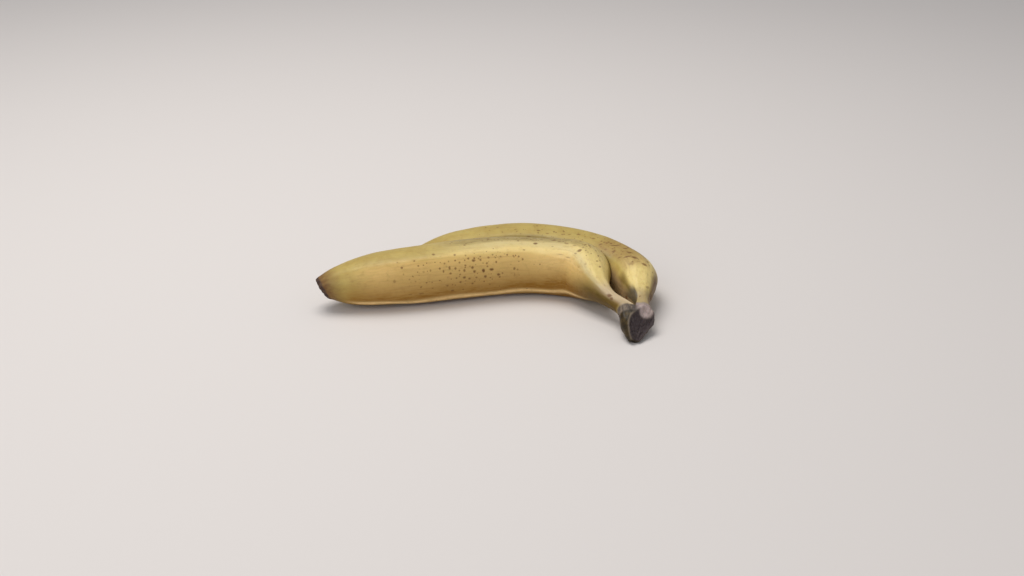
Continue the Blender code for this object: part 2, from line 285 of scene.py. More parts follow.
def smooth_line(stations, count):
    """Places evenly along the natural cubic spline through the stations, and the values there."""
    knots = np.array(stations, dtype=float)
    gaps = np.linalg.norm(np.diff(knots[:, :3], axis=0), axis=1)
    along = np.concatenate(([0.0], np.cumsum(gaps)))
    size = len(knots)
    matrix = np.eye(size)
    right = np.zeros_like(knots)
    for i in range(1, size - 1):
        before, after = gaps[i - 1], gaps[i]
        matrix[i, i - 1:i + 2] = (before, 2 * (before + after), after)
        right[i] = 6 * ((knots[i + 1] - knots[i]) / after - (knots[i] - knots[i - 1]) / before)
    bend = np.linalg.solve(matrix, right)
    place = np.linspace(0.0, along[-1], count)
    part = np.clip(np.searchsorted(along, place, side="right") - 1, 0, size - 2)
    gap = gaps[part][:, None]
    low = (along[part + 1] - place)[:, None]
    high = (place - along[part])[:, None]
    start, end = knots[part], knots[part + 1]
    line = (bend[part] * low ** 3 + bend[part + 1] * high ** 3) / (6 * gap)
    line += (start / gap - bend[part] * gap / 6) * low
    line += (end / gap - bend[part + 1] * gap / 6) * high
    return place, line


def turning_frames(place, middle):
    """Direction, inward and upward unit vectors of each ring, with sharp turns spread out."""
    steps = np.gradient(middle, place, axis=0)
    direction = np.empty_like(steps)
    for i, spot in enumerate(place):
        weight = np.exp(-((place - spot) / TURN_SPREAD) ** 2)
        direction[i] = (steps * weight[:, None]).sum(axis=0)
    direction /= np.linalg.norm(direction, axis=1)[:, None]
    inward = np.cross(direction, (0.0, 0.0, 1.0))
    inward /= np.linalg.norm(inward, axis=1)[:, None]
    upward = np.cross(inward, direction)
    return direction, inward, upward


def section():
    """Angle of each point round a finger, how far its face is sunk there, and its ridge distance.

    The sinking is a share of the radius. The distance to the nearest ridge is an angle.
    """
    step = np.arange(AROUND) * STEPS_ROUND / AROUND
    step = np.where(step >= RIDGE_STEPS[-1], step - STEPS_ROUND, step)
    angle = np.radians(np.interp(step, RIDGE_STEPS, RIDGE_DEGREES))
    sunk = np.zeros(AROUND)
    from_ridge = np.zeros(AROUND)
    for face, flatness in enumerate(FACE_FLATNESS):
        first, last = RIDGE_STEPS[face], RIDGE_STEPS[face + 1]
        share = (step - first) / (last - first)
        inside = (share >= 0) & (share <= 1)
        half_span = math.radians(RIDGE_DEGREES[face + 1] - RIDGE_DEGREES[face]) / 2
        depth = flatness * (1 - math.cos(half_span))
        wave = np.sin(np.pi * np.clip(share, 0, 1)) ** FLATNESS_POWER
        sunk = np.where(inside, depth * wave, sunk)
        from_ridge = np.where(inside, 2 * half_span * np.minimum(share, 1 - share), from_ridge)
    return angle, sunk, from_ridge


def crown_outline(notch):
    """Unit section of the crown, from the front finger's outside over the top."""
    turn = 2 * np.pi * np.arange(AROUND) / AROUND
    across, up = np.round(np.cos(turn), 9), np.round(np.sin(turn), 9)
    wide = np.sign(across) * np.abs(across) ** (2 / CROWN_POWER)
    high = np.sign(up) * np.abs(up) ** (2 / CROWN_POWER)
    high *= 1 - notch * np.exp(-(across / NOTCH_WIDTH) ** 2)
    return wide, high


def neck_end(facing):
    """The last ring of a finger: half of the join's outline, closed by the seam."""
    wide, high = crown_outline(NOTCH)
    ring = np.empty((AROUND, 3))
    ring[:, 0] = JOIN[0] - wide * JOIN_HALF_WIDTH
    ring[:, 1] = JOIN[1]
    ring[:, 2] = JOIN[2] + high * JOIN_HALF_HEIGHT
    on_seam = wide * facing <= 0
    seam = crown_outline(0.0)[1][on_seam]
    ring[on_seam, 0] = JOIN[0]
    ring[on_seam, 1] = JOIN[1] - SEAM_DIP * (1 - seam ** 2)
    ring[on_seam, 2] = JOIN[2] + seam * (1 - NOTCH) * JOIN_HALF_HEIGHT
    return ring


def soft(value, low, high):
    """0 on low's side, 1 on high's side, and a smooth step between them."""
    share = np.clip((value - low) / (high - low), 0, 1)
    return share ** 2 * (3 - 2 * share)


def fill_hollow(rings, place, angle):
    """The rings with the fold on the inside of the neck's bend smoothed out along the finger."""
    smooth = np.empty_like(rings)
    for i, spot in enumerate(place):
        weight = np.exp(-((place - spot) / HOLLOW_SPREAD) ** 2)
        smooth[i] = np.tensordot(weight / weight.sum(), rings, axes=1)
    left = (place[-1] - place)[:, None]
    lengthwise = soft(left, HOLLOW_START, HOLLOW_FULL) * soft(left, HOLLOW_END, HOLLOW_FADING)
    share = (lengthwise * soft(np.cos(angle), -0.2, 0.8))[:, :, None]
    return rings * (1 - share) + smooth * share


def finger(stations, facing):
    """Rings of one finger, its direction at the blossom end, and where its points are on it.

    facing is 1 for the finger on the join's -X side and -1 for the other. The places are, for each
    point: length from the blossom end, length left to the join, angle round, arc to the nearest
    ridge, and the point's place in a straightened finger.
    """
    place, line = smooth_line(stations, FINGER_RINGS)
    middle, radius = line[:, :3], line[:, 3]
    direction, inward, upward = turning_frames(place, middle)
    angle, sunk, from_ridge = section()
    angle = angle[None, :] + np.radians(line[:, 4:5])
    reach = radius[:, None] * (1 - line[:, 5:6] * sunk[None, :])
    aside = (reach * np.cos(angle))[:, :, None]
    height = (reach * np.sin(angle))[:, :, None]
    rings = middle[:, None, :] + aside * inward[:, None, :] + height * upward[:, None, :]
    lean = TIP_LEAN * np.clip(1 - place / TIP_LEAN_LENGTH, 0, 1) ** 1.5
    rings -= lean[:, None, None] * height * direction[:, None, :]
    rings = fill_hollow(rings, place, angle)
    blend = soft(place, place[-1] - BLEND_LENGTH, place[-1])[:, None, None]
    drift = middle[:, None, :] - middle[-1]
    rings = rings * (1 - blend) + (neck_end(facing) + drift) * blend
    along = np.broadcast_to(place[:, None], reach.shape)
    places = {
        "along": along,
        "left": place[-1] - along,
        "angle": np.broadcast_to(angle, reach.shape),
        "ridge": radius[:, None] * from_ridge[None, :],
        "straight": np.concatenate((along[:, :, None], aside, height), axis=2),
    }
    return rings, direction[0], places


def press_apart(rear, front):
    """The rear finger's rings, its side pushed clear of the front one it grew against."""
    middle = front.mean(axis=1)
    spokes = front - middle[:, None, :]
    reach = np.linalg.norm(spokes, axis=2)
    toward = spokes / reach[:, :, None]
    pressed = rear.copy()
    for ring in pressed[:int(PRESS_END * len(rear))]:
        for point in ring:
            near = np.argmin(((middle - point) ** 2).sum(axis=1))
            away = point - middle[near]
            distance = np.linalg.norm(away)
            away /= distance
            wall = reach[near][np.argmax(toward[near] @ away)] + TOUCH_GAP
            point += away * max(wall - distance, 0.0)
    return pressed


def crown():
    """Rings of the crown below the join, planed off by the cut, with each point's height over it."""
    place, line = smooth_line(((*JOIN, JOIN_HALF_WIDTH, JOIN_HALF_HEIGHT), *CROWN), CROWN_RINGS + 1)
    axis = np.gradient(line[:, :3], place, axis=0)
    tilt = np.arctan2(-axis[:, 2], -axis[:, 1]) * np.clip(place / CROWN_TURN, 0, 1)
    normal = np.array(CUT_NORMAL) / np.linalg.norm(CUT_NORMAL)
    rings, over = [], []
    for i in range(1, CROWN_RINGS + 1):
        x, y, z, half_width, half_height = line[i]
        wide, high = crown_outline(NOTCH * max(0.0, 1 - place[i] / NOTCH_LENGTH))
        ring = np.empty((AROUND, 3))
        ring[:, 0] = x - wide * half_width
        ring[:, 1] = y - high * half_height * math.sin(tilt[i])
        ring[:, 2] = z + high * half_height * math.cos(tilt[i])
        beyond = (ring - np.array(CUT_POINT)) @ normal
        rings.append(ring - beyond.clip(0)[:, None] * normal)
        over.append(beyond)
    return rings, over, place[1:]


def tip(ring, direction):
    """Rings that close a blossom end, from its middle out, and the point in its middle."""
    centre = ring.mean(axis=0)
    rings = [centre + (ring - centre) * share - direction * height for share, height in TIP_RINGS]
    return rings, centre - direction * TIP_NUB


def band(value, start, end, edge):
    """1 from start to end, fading to 0 over edge on both sides."""
    return soft(value, start - edge, start) * soft(value, end + edge, end)


def grain(points, size, seed):
    """Smooth noise from about -1 to 1 at each point. size is how far apart its lumps are."""
    scaled = points / np.array(size, dtype=float) + seed
    return np.array([noise.noise(Vector(point)) for point in scaled.tolist()])


class Skin:
    """The pair's vertices and faces, and where each vertex is on the fruit."""

    SIZES = {"part": 1, "along": 1, "left": 1, "angle": 1, "ridge": 1, "straight": 3, "over": 1}

    def __init__(self):
        self.points = []
        self.faces = []
        self.places = {name: [] for name in self.SIZES}

    def loop(self, ring, **places):
        """Adds a ring of points, or one point, and returns its vertex numbers."""
        ring = np.atleast_2d(ring)
        first = sum(len(points) for points in self.points)
        self.points.append(ring)
        for name, size in self.SIZES.items():
            value = np.asarray(places.get(name, 0.0), dtype=float)
            self.places[name].append(np.broadcast_to(value, (len(ring), size) if size > 1 else len(ring)))
        return list(range(first, first + len(ring)))

    def join(self, loops):
        """Quads between each loop and the next."""
        for near, far in zip(loops, loops[1:]):
            for i in range(AROUND):
                k = (i + 1) % AROUND
                self.faces.append((near[i], near[k], far[k], far[i]))

    def close(self, loop, centre):
        """Triangles from a loop to one vertex."""
        self.faces.extend((loop[(i + 1) % AROUND], loop[i], centre) for i in range(AROUND))

    def finished(self):
        """All points in one array, the faces, and the places as arrays."""
        places = {name: np.concatenate(parts) for name, parts in self.places.items()}
        return np.concatenate(self.points), self.faces, places


def add_finger(skin, part, rings, direction, places, last=None):
    """One finger from its blossom end. last is its last loop, where that is there already."""
    tip_rings, point = tip(rings[0], direction)
    loops = []
    for share, ring in zip((share for share, _ in TIP_RINGS), tip_rings):
        inner = {name: value[0] for name, value in places.items()}
        inner["along"] = (share - 1) * np.ones(AROUND)
        loops.append(skin.loop(ring, part=part, **inner, over=-99.0))
    centre = skin.loop(point, part=part, along=-1.0, left=places["left"][0, 0],
                       straight=places["straight"][0].mean(axis=0), over=-99.0)[0]
    skin.close(loops[0], centre)
    count = len(rings) if last is None else len(rings) - 1
    for i in range(count):
        here = {name: value[i] for name, value in places.items()}
        loops.append(skin.loop(rings[i], part=part, **here, over=-99.0))
    if last is not None:
        loops.append(last(skin))
    skin.join(loops)
    return loops[-1]


def build_pair():
    """Points, faces and places of the whole pair, as the CAD part builds it."""
    front, front_start, front_places = finger(FRONT, 1)
    rear, rear_start, rear_places = finger(REAR, -1)
    rear = press_apart(rear, front)
    skin = Skin()
    shared = add_finger(skin, 0, front, front_start, front_places)
    quarter = AROUND // 4
    own = [i for i in range(AROUND) if quarter < i < 3 * quarter]

    def rear_last(skin):
        """The rear finger's last loop: its own half, and its half of the seam from the front."""
        here = {name: value[-1][own] for name, value in rear_places.items()}
        new = dict(zip(own, skin.loop(rear[-1][own], part=1, **here, over=-99.0)))
        return [new.get(i, shared[(2 * quarter - i) % AROUND]) for i in range(AROUND)]

    last = add_finger(skin, 1, rear, rear_start, rear_places, rear_last)
    start = [last[i] if quarter < i < 3 * quarter else shared[i] for i in range(AROUND)]
    loops = [start]
    rings, over, below = crown()
    turn = 2 * np.pi * np.arange(AROUND) / AROUND
    for ring, height, place in zip(rings, over, below):
        loops.append(skin.loop(ring, part=2, along=place, left=-place, angle=turn, straight=ring, over=height))
    skin.join(loops)
    centre = skin.loop(rings[-1].mean(axis=0), part=2, along=below[-1], left=-below[-1],
                       straight=rings[-1].mean(axis=0), over=over[-1].mean())[0]
    skin.close(loops[-1], centre)
    return skin.finished()


def dents(places):
    """Shallow hollows from knocks, the same ones every time."""
    draw = np.random.default_rng(DENT_SEED)
    out = np.zeros(len(places["part"]))
    for _ in range(DENT_COUNT):
        part = draw.integers(0, 2)
        along, angle = draw.uniform(25, 170), draw.uniform(-math.pi, math.pi)
        across, depth = draw.uniform(*DENT_SIZE), draw.uniform(*DENT_DEPTH)
        here = places["part"] == part
        turn = np.angle(np.exp(1j * (places["angle"] - angle))) * DENT_REACH
        gap = np.hypot((places["along"] - along) / 1.6, turn)
        out -= depth * np.exp(-(gap / across) ** 2) * here
    return out


def finger_relief(points, places):
    """Height of the fingers' relief over the plain form, in millimetres."""
    along, left, angle, straight = (places[name] for name in ("along", "left", "angle", "straight"))
    ends = soft(along, 1, 16) * soft(left, 3, 26)
    neck = soft(left, 44, 20) * soft(left, 0, 5)
    broken = 0.62 + 0.6 * grain(straight, (26, 7, 7), 3.1)
    broken *= (0.3 + 0.7 * soft(along, 40, 110)) * soft(left, 12, 48)
    out = RIDGE_LIFT * broken * np.exp(-(places["ridge"] / RIDGE_LINE) ** 2) * ends
    knee = band(left, 14, 46, 14) * soft(np.cos(angle - KNEE_TURN), 0.5, 0.9)
    out -= KNEE_ROUNDING * knee * np.exp(-(places["ridge"] / KNEE_REACH) ** 2)
    out += FACE_SWELL * grain(straight, (30, 13, 13), 7.7) * ends
    out += FACE_RIPPLE * grain(straight, (10, 5, 5), 1.3)
    out += FIBRE_LIFT * grain(straight, (34, 2.2, 2.2), 5.9) * (1 + 2.2 * neck)
    furrow = grain(straight, (30, 2.9, 2.9), 9.2)
    out -= NECK_FURROW * neck * (1 - np.abs(furrow) * 3).clip(0)
    inner = soft(np.cos(angle), -0.1, 0.8) * band(left, 24, 52, 12)
    wave = 2 * np.pi * along / FOLD_LENGTH + 3.2 * grain(straight, (14, 9, 9), 4.4)
    out += FOLD_LIFT * np.sin(wave) * inner
    near_tip = np.exp(-along.clip(0) / 6.0)
    crease = np.cos(11 * angle + 2.6 * grain(points, (5, 5, 5), 6.1))
    out += TIP_CREASE * crease * near_tip * soft(along, -0.9, 0.2)
    out += TIP_RIM * np.exp(-((along - 1.2) / 1.3) ** 2) * (0.8 + 0.8 * grain(points, (4, 4, 4), 2.2))
    out += TIP_CRUST * grain(points, (1.5, 1.5, 1.5), 8.8) * soft(along, 1.5, -0.3)
    return out + dents(places)


def bulge(points):
    """Share of the swelling at the top of the cut, at points in the CAD part's station sizes."""
    away = np.linalg.norm(points - np.array(BULGE_PLACE), axis=1)
    return soft(away, *BULGE_REACH)


def crown_relief(points, places):
    """Height of the crown's relief over the plain form, in millimetres."""
    over = places["over"]
    side = soft(over, 0.2, -0.8)
    face = soft(over, 0.1, 1.0)
    out = CROWN_RIB * grain(points, (1.8, 8.0, 8.0), 3.7) * side
    out += CROWN_RIB * 0.7 * grain(points, (1.0, 4.0, 4.0), 5.1) * side
    out += CUT_RIM * np.exp(-((over + 0.1) / 0.75) ** 2) * (0.75 + 0.8 * grain(points, (3.2, 3.2, 3.2), 2.9))
    out -= CUT_HOLLOW * soft(over, 0.3, 3.2) * (0.8 + 0.5 * grain(points, (4.5, 4.5, 4.5), 6.6))
    out += CUT_FIBRE * grain(points, (0.85, 2.8, 1.2), 1.9) * face
    out += CUT_FIBRE * 0.8 * grain(points, (2.2, 2.6, 2.4), 4.2) * face
    crack = np.abs(grain(points, (2.4, 6.0, 3.0), 7.4))
    out -= CUT_CRACK * (1 - crack * 9).clip(0) * face
    lip = np.exp(-((places["along"] - 1.3) / 1.0) ** 2) * side
    out += COLLAR_LIP * lip * (0.7 + 0.9 * grain(points, (3.5, 3.5, 3.5), 9.9))
    out += BULGE_LIFT * bulge(points)
    return out * soft(places["along"], 0.0, 1.2)


def build_mesh():
    """The pair's mesh with its relief, in the part's frame, and its points' places."""
    plain, faces, places = build_pair()
    mesh = bpy.data.meshes.new("peel")
    mesh.from_pydata(plain.tolist(), [], faces)
    shape = bmesh.new()
    shape.from_mesh(mesh)
    bmesh.ops.recalc_face_normals(shape, faces=shape.faces)
    shape.to_mesh(mesh)
    shape.free()
    normals = np.zeros(len(plain) * 3, dtype=np.float32)
    mesh.vertex_normals.foreach_get("vector", normals)
    on_crown = places["part"] == 2
    height = np.where(on_crown, crown_relief(plain, places), finger_relief(plain, places))
    points = plain + normals.reshape(-1, 3) * height[:, None]
    placed = np.empty_like(points)
    placed[:, 0] = (points[:, 0] + TO_MIDDLE[0]) * MM
    placed[:, 1] = (points[:, 1] + TO_MIDDLE[1]) * MM
    placed[:, 2] = (points[:, 2] - TABLE_SINK).clip(0) * MM
    mesh.vertices.foreach_set("co", placed.ravel())
    mesh.shade_smooth()
    mesh.update()
    return mesh, placed, places


def camera_place():
    """The camera's place in metres, and its viewing direction."""
    pitch = math.radians(CAMERA_PITCH)
    direction = np.array((0.0, math.cos(pitch), -math.sin(pitch)))
    aim = np.array(CAMERA_AIM) + (*TO_MIDDLE, -TABLE_SINK)
    return (aim - direction * CAMERA_DISTANCE) * MM, direction


def make_camera():
    """The photograph's camera."""
    place, _ = camera_place()
    data = bpy.data.cameras.new("photo_camera")
    data.sensor_width = SENSOR
    data.lens = SENSOR * FOCAL_PIXELS / PHOTO_WIDTH
    camera = bpy.data.objects.new("photo_camera", data)
    camera.location = place
    camera.rotation_euler = (math.radians(90 - CAMERA_PITCH), 0.0, 0.0)
    bpy.context.scene.collection.objects.link(camera)
    bpy.context.scene.camera = camera


def seen_at(tree, column, row):
    """The point of the fruit, in metres, that the photograph shows at a pixel."""
    place, direction = camera_place()
    pitch = math.radians(CAMERA_PITCH)
    right = np.array((1.0, 0.0, 0.0))
    up = np.array((0.0, math.sin(pitch), math.cos(pitch)))
    ray = direction + right * (column + 0.5 - PHOTO_WIDTH / 2) / FOCAL_PIXELS
    ray -= up * (row + 0.5 - PHOTO_HEIGHT / 2) / FOCAL_PIXELS
    return tree.ray_cast(Vector(place), Vector(ray).normalized())


def set_values(mesh, name, values):
    """A vertex attribute, of one number or of three."""
    kind, field = ("FLOAT", "value") if values.ndim == 1 else ("FLOAT_VECTOR", "vector")
    attribute = mesh.attributes.new(name, kind, "POINT")
    attribute.data.foreach_set(field, values.astype(np.float32).ravel())


def zones(points, places):
    """How strongly each colour zone of the fruit covers each point, from 0 to 1. Some zones are painted highlights
    and some are painted shade.
    """
    part, along, left, over = (places[name] for name in ("part", "along", "left", "over"))
    front, rear, crowned = part == 0, part == 1, part == 2
    turn = np.degrees(np.angle(np.exp(1j * places["angle"])))
    turn += 6 * grain(points, (22, 22, 22), 2.7)
    inner = soft(turn, -78, -60)
    face = soft(turn, 66, 44) * inner * soft(along, 8, 36) * soft(left, 18, 40)
    # painted shade: the lower, downward-facing part of the inner face is painted darker brown-orange
    low = soft(turn, 40, -50) * inner * soft(along, 0, 20) * (1 + 0.5 * soft(along, 100, 160))
    on_front = {
        # paler upper side: partly the peel's own tone, partly painted light from above
        "cream_and_top_light": band(turn, 62, 104, 12) * soft(along, 50, 115),
        "face": face,
        "low": low.clip(0, 1) * soft(left, 12, 32),
        # partly a worn edge, partly a painted highlight of light from the floor
        "lower_ridge_wear_and_highlight": np.exp(-((turn + 41.5) / 6) ** 2) * soft(along, 8, 24) * soft(left, 10, 24),
        # painted highlight along the ridge between the upper side and the inner face
        "ridge_highlight": 0.75 * np.exp(-((turn - 58) / 10) ** 2) * soft(along, 55, 95) * soft(left, 38, 60),
        # painted highlight on the top of the front finger's knee
        "pale": band(turn, 80, 140, 16) * band(left, 26, 52, 14),
        "tan": band(turn, 46, 175, 26) * soft(left, 30, 14),
        # partly the neck's own green, partly painted shade on its lower inner side
        "olive_and_shade": soft(turn, 84, 10) * soft(turn, -110, -85) * soft(left, 48, 20) * soft(left, 0, 4),
        # stain and painted shade in the groove facing the rear finger, and a darker tone on the upper neck
        "smudge_and_shade": np.maximum(band(turn, 92, 150, 12) * band(along, 92, 152, 26) * 0.8,
                             band(turn, 50, 150, 20) * soft(left, 17, 5) * 0.7),
        "speckled": 0.05 * soft(along, 30, 80) + 0.42 * band(turn, -22, 48, 16) * band(along, 62, 118, 30)
        + 0.55 * band(turn, 88, 122, 8) * band(along, 95, 165, 20),
    }
    scarred = band(turn, 60, 120, 14) * band(left, 38, 66, 10)
    neck_smudge = 0.8 * band(turn, 66, 150, 12) * soft(left, 17, 9)
    on_rear = {
        # painted highlight on the top of the rear finger's knee
        "pale": band(turn, 66, 150, 26) * band(left, 17, 38, 10),
        # partly the neck's own green, partly painted shade on its inner side
        "olive_and_shade": 0.70 * band(turn, 14, 42, 20) * band(left, 13, 27, 9),
        "shade": soft(turn, 44, 10) * soft(turn, -110, -80) * soft(left, 66, 48),
        "tan": 0.35 * band(turn, 66, 150, 20) * soft(left, 18, 9),
        # painted shade on the outer side near the neck
        "edge": 0.85 * np.maximum(soft(turn, 132, 156), soft(turn, -120, -150)) * soft(left, 40, 26),
        # painted shade in the gap between the rear neck and the front finger
        "crevice_shade": band(turn, 10, 62, 10) * soft(left, 21, 13),
        # painted shade and stain on the side that faces the front finger, and a darker tone on the upper neck
        "smudge_and_shade": np.maximum(0.75 * band(turn, -40, 50, 10) * band(left, 60, 160, 20), neck_smudge),
        "scar": 0.6 * scarred,
        "face": 0.3 * soft(turn, -60, -80) * soft(along, 8, 36),
        "speckled": 0.08 + 0.24 * scarred + 0.42 * band(turn, 50, 98, 10) * band(left, 64, 122, 14),
    }
    stations = points - np.array((*TO_MIDDLE, -TABLE_SINK))
    swelling = bulge(stations)
    # where the furrow between the two necks lies, which gets painted shade
    between = np.exp(-((stations[:, 0] - JOIN[0] + 0.6) / 1.5) ** 2) * soft(stations[:, 2], 11, 14)
    on_crown = {
        "collar": np.maximum(soft(along, 6.0, 1.0), swelling),
        # partly the tissue's tone, partly a painted highlight on the upward-facing swelling
        "bulge": swelling,
        "cut": soft(over, -0.5, 0.2) * (1 - 0.8 * swelling),
        # painted highlight along the edge of the cut
        "rim_highlight": 0.7 * np.exp(-((over + 0.3) / 0.35) ** 2) * soft(along, 2, 6),
        "skin": np.ones(len(points)),
        # painted shade in the furrow between the necks
        "furrow": 0.8 * between * soft(along, 6.5, 3.5),
    }
    on_fingers = {
        "tip": soft(along, 14, 1),
        "dry": soft(along, 3.4, 0.2),
        "collar": soft(left + 1.5 * front, 6.5, 0.0),
        "bulge": 0.6 * rear * soft(left, 6, 1),
        # painted shade in the furrow between the necks
        "furrow": 0.8 * between * soft(left, 2.5, 0),
    }
    out = {}
    for name in ZONES:
        value = np.zeros(len(points))
        for here, strengths in ((front, on_front), (rear, on_rear), (front | rear, on_fingers), (crowned, on_crown)):
            if name in strengths:
                value[here] = strengths[name][here]
        out[name] = value
    return out


def node(tree, kind, inputs=None, **settings):
    """A shader node. Its inputs are given by name or number, as a value or as a socket."""
    made = tree.nodes.new("ShaderNode" + kind)
    for name, value in settings.items():
        setattr(made, name, value)
    for key, value in (inputs or {}).items():
        if isinstance(value, bpy.types.NodeSocket):
            tree.links.new(value, made.inputs[key])
        else:
            made.inputs[key].default_value = value
    return made


def value_of(tree, name):
    """A number that the vertices carry."""
    return node(tree, "Attribute", attribute_name=name).outputs["Fac"]


def calc(tree, operation, a, b=0.0, clamp=False):
    """The result of one sum on two numbers."""
    return node(tree, "Math", {0: a, 1: b}, operation=operation, use_clamp=clamp).outputs[0]


def span(tree, value, low, high, to_low=0.0, to_high=1.0):
    """A smooth step of value from low to high."""
    inputs = {"Value": value, "From Min": low, "From Max": high, "To Min": to_low, "To Max": to_high}
    return node(tree, "MapRange", inputs, interpolation_type="SMOOTHSTEP").outputs["Result"]


def mix(tree, factor, a, b, blend="MIX"):
    """Colour b over colour a."""
    inputs = {0: factor, 6: a, 7: b}
    return node(tree, "Mix", inputs, data_type="RGBA", blend_type=blend).outputs[2]


def cloud(tree, vector, size, detail=2.0, distortion=0.0):
    """Noise from 0 to 1 whose lumps are about size across, in the vector's own unit."""
    inputs = {"Vector": vector, "Scale": 1 / size, "Detail": detail, "Distortion": distortion}
    return node(tree, "TexNoise", inputs).outputs["Fac"]


def stretched(tree, vector, scale):
    """The vector scaled by a different share along each axis."""
    return node(tree, "Mapping", {"Vector": vector, "Scale": scale}).outputs["Vector"]


def colour(red, green, blue):
    """A colour given as a screen shows it, from 0 to 255, for the shader."""
    return (*(((c / 255 + 0.055) / 1.055) ** 2.4 for c in (red, green, blue)), 1.0)


def ragged(tree, zone, texture, strength=0.8):
    """A zone whose soft edge is broken up by a texture."""
    shift = calc(tree, "MULTIPLY", calc(tree, "SUBTRACT", texture, 0.5), strength)
    return span(tree, calc(tree, "ADD", zone, shift), 0.22, 0.78)


def uneven(tree, zone, texture, strength=0.8):
    """A zone that a texture makes a little stronger in some places and weaker in others."""
    share = calc(tree, "ADD", calc(tree, "MULTIPLY", texture, strength), 1 - strength / 2)
    return calc(tree, "MULTIPLY", zone, share, clamp=True)


def speckles(tree, straight, density, size, radii, edge):
    """Round spots at random, one at most in each cell of the given size, where density allows."""
    cell = node(tree, "TexVoronoi", {"Vector": straight, "Scale": 1 / size, "Randomness": 1.0})
    random = node(tree, "SeparateColor", {"Color": cell.outputs["Color"]}).outputs
    power = calc(tree, "POWER", random[0], 2.2)
    radius = calc(tree, "ADD", calc(tree, "MULTIPLY", power, radii[1] - radii[0]), radii[0])
    distance = calc(tree, "MULTIPLY", cell.outputs["Distance"], size)
    distance = calc(tree, "ADD", distance, calc(tree, "MULTIPLY", calc(tree, "SUBTRACT", edge, 0.5), 0.7))
    spot = span(tree, calc(tree, "DIVIDE", distance, radius), 1.15, 0.5)
    present = span(tree, calc(tree, "SUBTRACT", density, random[1]), 0.0, 0.06)
    return calc(tree, "MULTIPLY", spot, present)


